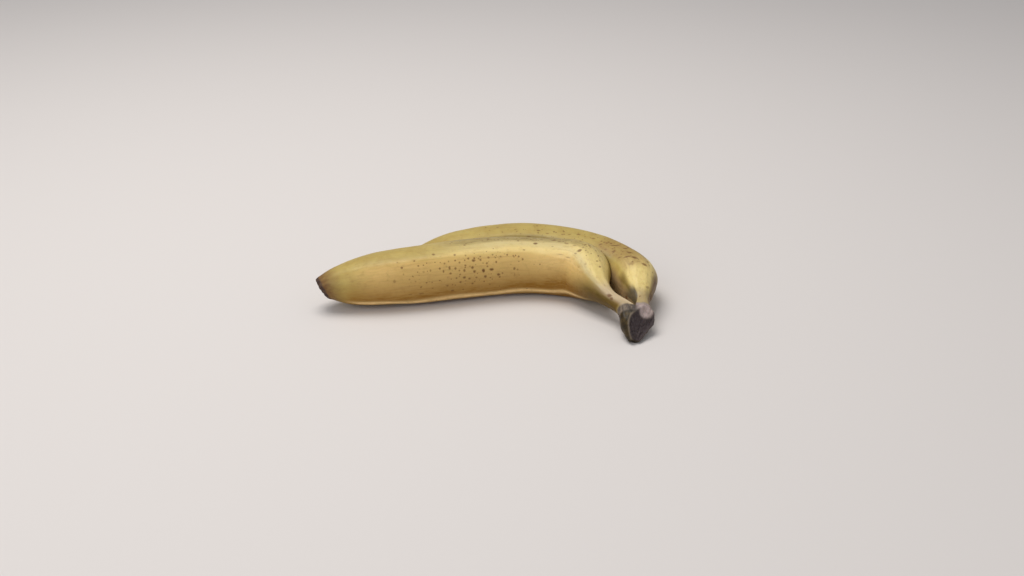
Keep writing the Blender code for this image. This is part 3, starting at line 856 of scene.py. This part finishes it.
def peel_material():
    """Ripe peel, its speckles and scars, the dry blossom ends, and the crown with its cut, with some painted
    highlights and painted shade.
    """
    material = bpy.data.materials.new("peel")
    material.use_nodes = True
    tree = material.node_tree
    shader = tree.nodes["Principled BSDF"]
    here = node(tree, "TexCoord").outputs["Object"]
    here = node(tree, "VectorMath", {0: here, 3: 1 / MM}, operation="SCALE").outputs["Vector"]
    straight = node(tree, "Attribute", attribute_name="straight").outputs["Vector"]
    zone = {name: value_of(tree, name) for name in ZONES}

    mottle = cloud(tree, here, 9.0, 4.0, 0.6)
    blotch = cloud(tree, here, 3.2, 4.0)
    fine = cloud(tree, here, 0.8, 3.0)
    streak = cloud(tree, stretched(tree, straight, (0.05, 0.9, 0.9)), 1.0, 3.0)
    smear = cloud(tree, stretched(tree, straight, (0.16, 0.7, 0.7)), 1.0, 4.0)

    # Peel.
    base = mix(tree, span(tree, mottle, 0.32, 0.68), colour(*YELLOW), colour(*YELLOW_DULL))
    for name, paint, texture, strength in (
        # partly painted light from above on the upper side
        ("cream_and_top_light", CREAM_AND_TOP_LIGHT, mottle, 0.8),
        ("face", GOLD, smear, 1.1),
        # painted shade on the lower part of the inner face
        ("low", LOW_FACE_SHADE, smear, 0.9),
        # worn edge and painted highlight along the lowest ridge
        ("lower_ridge_wear_and_highlight", LOWER_RIDGE_WEAR_AND_HIGHLIGHT, smear, 1.4),
        # painted highlight along the upper ridge
        ("ridge_highlight", RIDGE_HIGHLIGHT, mottle, 0.6),
        # painted highlight on the knees
        ("pale", KNEE_HIGHLIGHT, mottle, 0.5),
        # stain and painted shade in the groove between the fingers
        ("smudge_and_shade", SMUDGE_AND_SHADE, smear, 1.9),
        ("tan", NECK_TAN, smear, 0.6),
        ("scar", SCAR, smear, 1.4),
        # neck green and painted shade
        ("olive_and_shade", OLIVE_AND_SHADE, smear, 0.4),
        ("shade", SHADE_BROWN, mottle, 0.6),
        # painted shade on the rear finger's outer side
        ("edge", EDGE_SHADE, smear, 0.8),
        # painted shade in the gap between the necks
        ("crevice_shade", CREVICE_SHADE, blotch, 0.6),
        ("tip", TIP_BROWN, smear, 0.8),
    ):
        base = mix(tree, uneven(tree, zone[name], texture, strength), base, colour(*paint))
    base = mix(tree, span(tree, streak, 0.48, 0.80, 0.0, 0.28), base, colour(*STREAK_BROWN))
    base = mix(tree, span(tree, fine, 0.55, 0.85, 0.0, 0.24), base, colour(*STREAK_BROWN))
    base = mix(tree, span(tree, blotch, 0.50, 0.78, 0.0, 0.20), base, colour(*STREAK_BROWN))

    # Speckles.
    small = speckles(tree, straight, zone["speckled"], 2.0, (0.42, 0.95), fine)
    large = speckles(tree, straight, zone["speckled"], 4.2, (0.60, 1.30), fine)
    spots = calc(tree, "MAXIMUM", calc(tree, "MULTIPLY", small, 0.7), calc(tree, "MULTIPLY", large, 0.65))
    fray = calc(tree, "MULTIPLY", calc(tree, "SUBTRACT", fine, 0.5), 0.9)
    for layer in range(MARK_LAYERS):
        mark = node(tree, "Attribute", attribute_name=f"mark_{layer}").outputs["Vector"]
        mark = node(tree, "VectorMath", {0: mark}, operation="LENGTH").outputs["Value"]
        mark = span(tree, calc(tree, "ADD", mark, fray), 1.35, 0.45)
        mark = calc(tree, "MULTIPLY", mark, value_of(tree, f"mark_depth_{layer}"))
        spots = calc(tree, "MAXIMUM", spots, mark)
    base = mix(tree, spots, base, colour(*SPECKLE))

    # Dry tissue.
    grey = span(tree, cloud(tree, stretched(tree, here, (0.9, 0.25, 0.35)), 1.0, 4.0), 0.30, 0.75)
    dusty = mix(tree, grey, colour(*COLLAR_DARK), colour(*COLLAR_GREY))
    # pale swelling at the top of the cut: partly its own tone, partly a painted highlight
    dusty = mix(tree, uneven(tree, zone["bulge"], blotch, 1.4), dusty, colour(*BULGE_PINK_AND_HIGHLIGHT))
    fibres = span(tree, cloud(tree, stretched(tree, here, (1.5, 0.4, 0.9)), 1.0, 4.0), 0.42, 0.88)
    cut = mix(tree, fibres, colour(*CUT_DARK), colour(*CUT_LIGHT))
    skin = mix(tree, span(tree, blotch, 0.4, 0.7), colour(*SKIN_DARK), colour(*SKIN_OLIVE))
    base = mix(tree, ragged(tree, zone["skin"], blotch), base, skin)
    base = mix(tree, ragged(tree, zone["collar"], blotch, 0.5), base, dusty)
    base = mix(tree, ragged(tree, zone["cut"], blotch, 0.4), base, cut)
    # painted highlight along the cut's edge
    base = mix(tree, uneven(tree, zone["rim_highlight"], blotch, 1.6), base, colour(*CUT_EDGE_HIGHLIGHT))
    # painted shade in the furrow between the two necks
    base = mix(tree, zone["furrow"], base, colour(*FURROW_SHADE))
    crust = mix(tree, span(tree, cloud(tree, here, 1.6, 5.0), 0.42, 0.70), colour(*TIP_DARK), colour(*TIP_GREY))
    base = mix(tree, ragged(tree, zone["dry"], blotch), base, crust)
    tree.links.new(base, shader.inputs["Base Color"])

    # Gloss.
    dull = calc(tree, "MAXIMUM", zone["cut"], calc(tree, "MAXIMUM", zone["dry"], zone["collar"]))
    rough = span(tree, blotch, 0.3, 0.75, *PEEL_ROUGHNESS)
    rough = calc(tree, "ADD", rough, calc(tree, "MULTIPLY", dull, DRY_ROUGHER))
    rough = calc(tree, "ADD", rough, calc(tree, "MULTIPLY", spots, SPECKLE_ROUGHER), clamp=True)
    tree.links.new(rough, shader.inputs["Roughness"])

    # Fine relief.
    pores = cloud(tree, here, 0.45, 2.0)
    height = calc(tree, "ADD", calc(tree, "MULTIPLY", pores, 0.4), calc(tree, "MULTIPLY", streak, 0.9))
    height = calc(tree, "SUBTRACT", height, calc(tree, "MULTIPLY", spots, 0.9))
    height = calc(tree, "ADD", height, calc(tree, "MULTIPLY", calc(tree, "MULTIPLY", fibres, dull), 3.0))
    bump = node(tree, "Bump", {"Strength": 0.55, "Distance": BUMP_HEIGHT * MM, "Height": height})
    tree.links.new(bump.outputs["Normal"], shader.inputs["Normal"])
    shader.inputs["Specular IOR Level"].default_value = PEEL_SHINE
    shader.inputs["Subsurface Weight"].default_value = PEEL_GLOW
    shader.inputs["Subsurface Radius"].default_value = PEEL_GLOW_RADIUS
    shader.inputs["Subsurface Scale"].default_value = MM
    return material


def add_marks(mesh, points):
    """The larger specks and scars, each at its own place in the photograph.

    Each vertex near a mark carries its place in the mark, in the mark's own half sizes.
    """
    finder = BVHTree.FromPolygons(points.tolist(), [tuple(face.vertices) for face in mesh.polygons])
    offsets = np.zeros((MARK_LAYERS, len(points), 3))
    offsets[:, :, 2] = MARK_FAR
    depths = np.zeros((MARK_LAYERS, len(points)))
    placed = [[] for _ in range(MARK_LAYERS)]
    for column, row, half_length, half_width, turn, strength in MARKS:
        spot, normal, _, _ = seen_at(finder, column, row)
        if spot is None:
            continue
        reach = max(half_length, half_width) + 1.6
        clear = [min([(spot - other).length / MM - reach - far for other, far in marks] + [1.2])
                 for marks in placed]
        layer = int(np.argmax(clear))
        placed[layer].append((spot, reach))
        lengthwise = Vector((math.cos(math.radians(turn)), math.sin(math.radians(turn)), 0.0))
        lengthwise = (lengthwise - normal * lengthwise.dot(normal)).normalized()
        gap = (points - np.array(spot)) / MM
        near = np.linalg.norm(gap, axis=1) < reach
        axes = ((lengthwise, half_length), (normal.cross(lengthwise), half_width), (normal, max(half_width, 1.0)))
        for k, (axis, half_size) in enumerate(axes):
            offsets[layer, near, k] = gap[near] @ np.array(axis) / half_size
        depths[layer, near] = strength
    for layer in range(MARK_LAYERS):
        set_values(mesh, f"mark_{layer}", offsets[layer])
        set_values(mesh, f"mark_depth_{layer}", depths[layer])


def make_fruit():
    """The pair as one piece that stands for the CAD solid."""
    mesh, points, places = build_mesh()
    for name, values in zones(points / MM, places).items():
        set_values(mesh, name, values)
    straight = places["straight"] + np.stack((places["part"] * STRAIGHT_STEP, *np.zeros((2, len(points)))), axis=1)
    set_values(mesh, "straight", straight)
    add_marks(mesh, points)
    mesh.materials.append(peel_material())
    fruit = bpy.data.objects.new("banana_peel", mesh)
    bpy.context.scene.collection.objects.link(fruit)
    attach(fruit, "root")
    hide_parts(NODE)


def make_floor():
    """A plain pale floor."""
    mesh = bpy.data.meshes.new("floor")
    half = FLOOR_SIZE / 2
    mesh.from_pydata([(-half, -half, 0), (half, -half, 0), (half, half, 0), (-half, half, 0)], [], [(0, 1, 2, 3)])
    material = bpy.data.materials.new("floor")
    material.use_nodes = True
    shader = material.node_tree.nodes["Principled BSDF"]
    shader.inputs["Base Color"].default_value = colour(*FLOOR_COLOUR)
    shader.inputs["Roughness"].default_value = 0.8
    mesh.materials.append(material)
    floor = bpy.data.objects.new("floor", mesh)
    floor.location.z = -0.0002
    bpy.context.scene.collection.objects.link(floor)


def make_softbox(name, place, size, power, tint):
    """A square area light that points at the fruit."""
    data = bpy.data.lights.new(name, "AREA")
    data.size = size
    data.energy = power
    data.color = tint
    light = bpy.data.objects.new(name, data)
    light.location = place
    light.rotation_euler = (-Vector(place)).to_track_quat("-Z", "Y").to_euler()
    bpy.context.scene.collection.objects.link(light)


def make_light():
    """Soft light from above and a little behind, and a pale surround."""
    for softbox in SOFTBOXES:
        make_softbox(*softbox)
    world = bpy.data.worlds.new("surround")
    world.use_nodes = True
    world.node_tree.nodes["Background"].inputs["Color"].default_value = colour(*SURROUND_COLOUR)
    world.node_tree.nodes["Background"].inputs["Strength"].default_value = SURROUND_STRENGTH
    bpy.context.scene.world = world
    bpy.context.scene.view_settings.view_transform = "Standard"


make_camera()
make_floor()
make_light()
make_fruit()
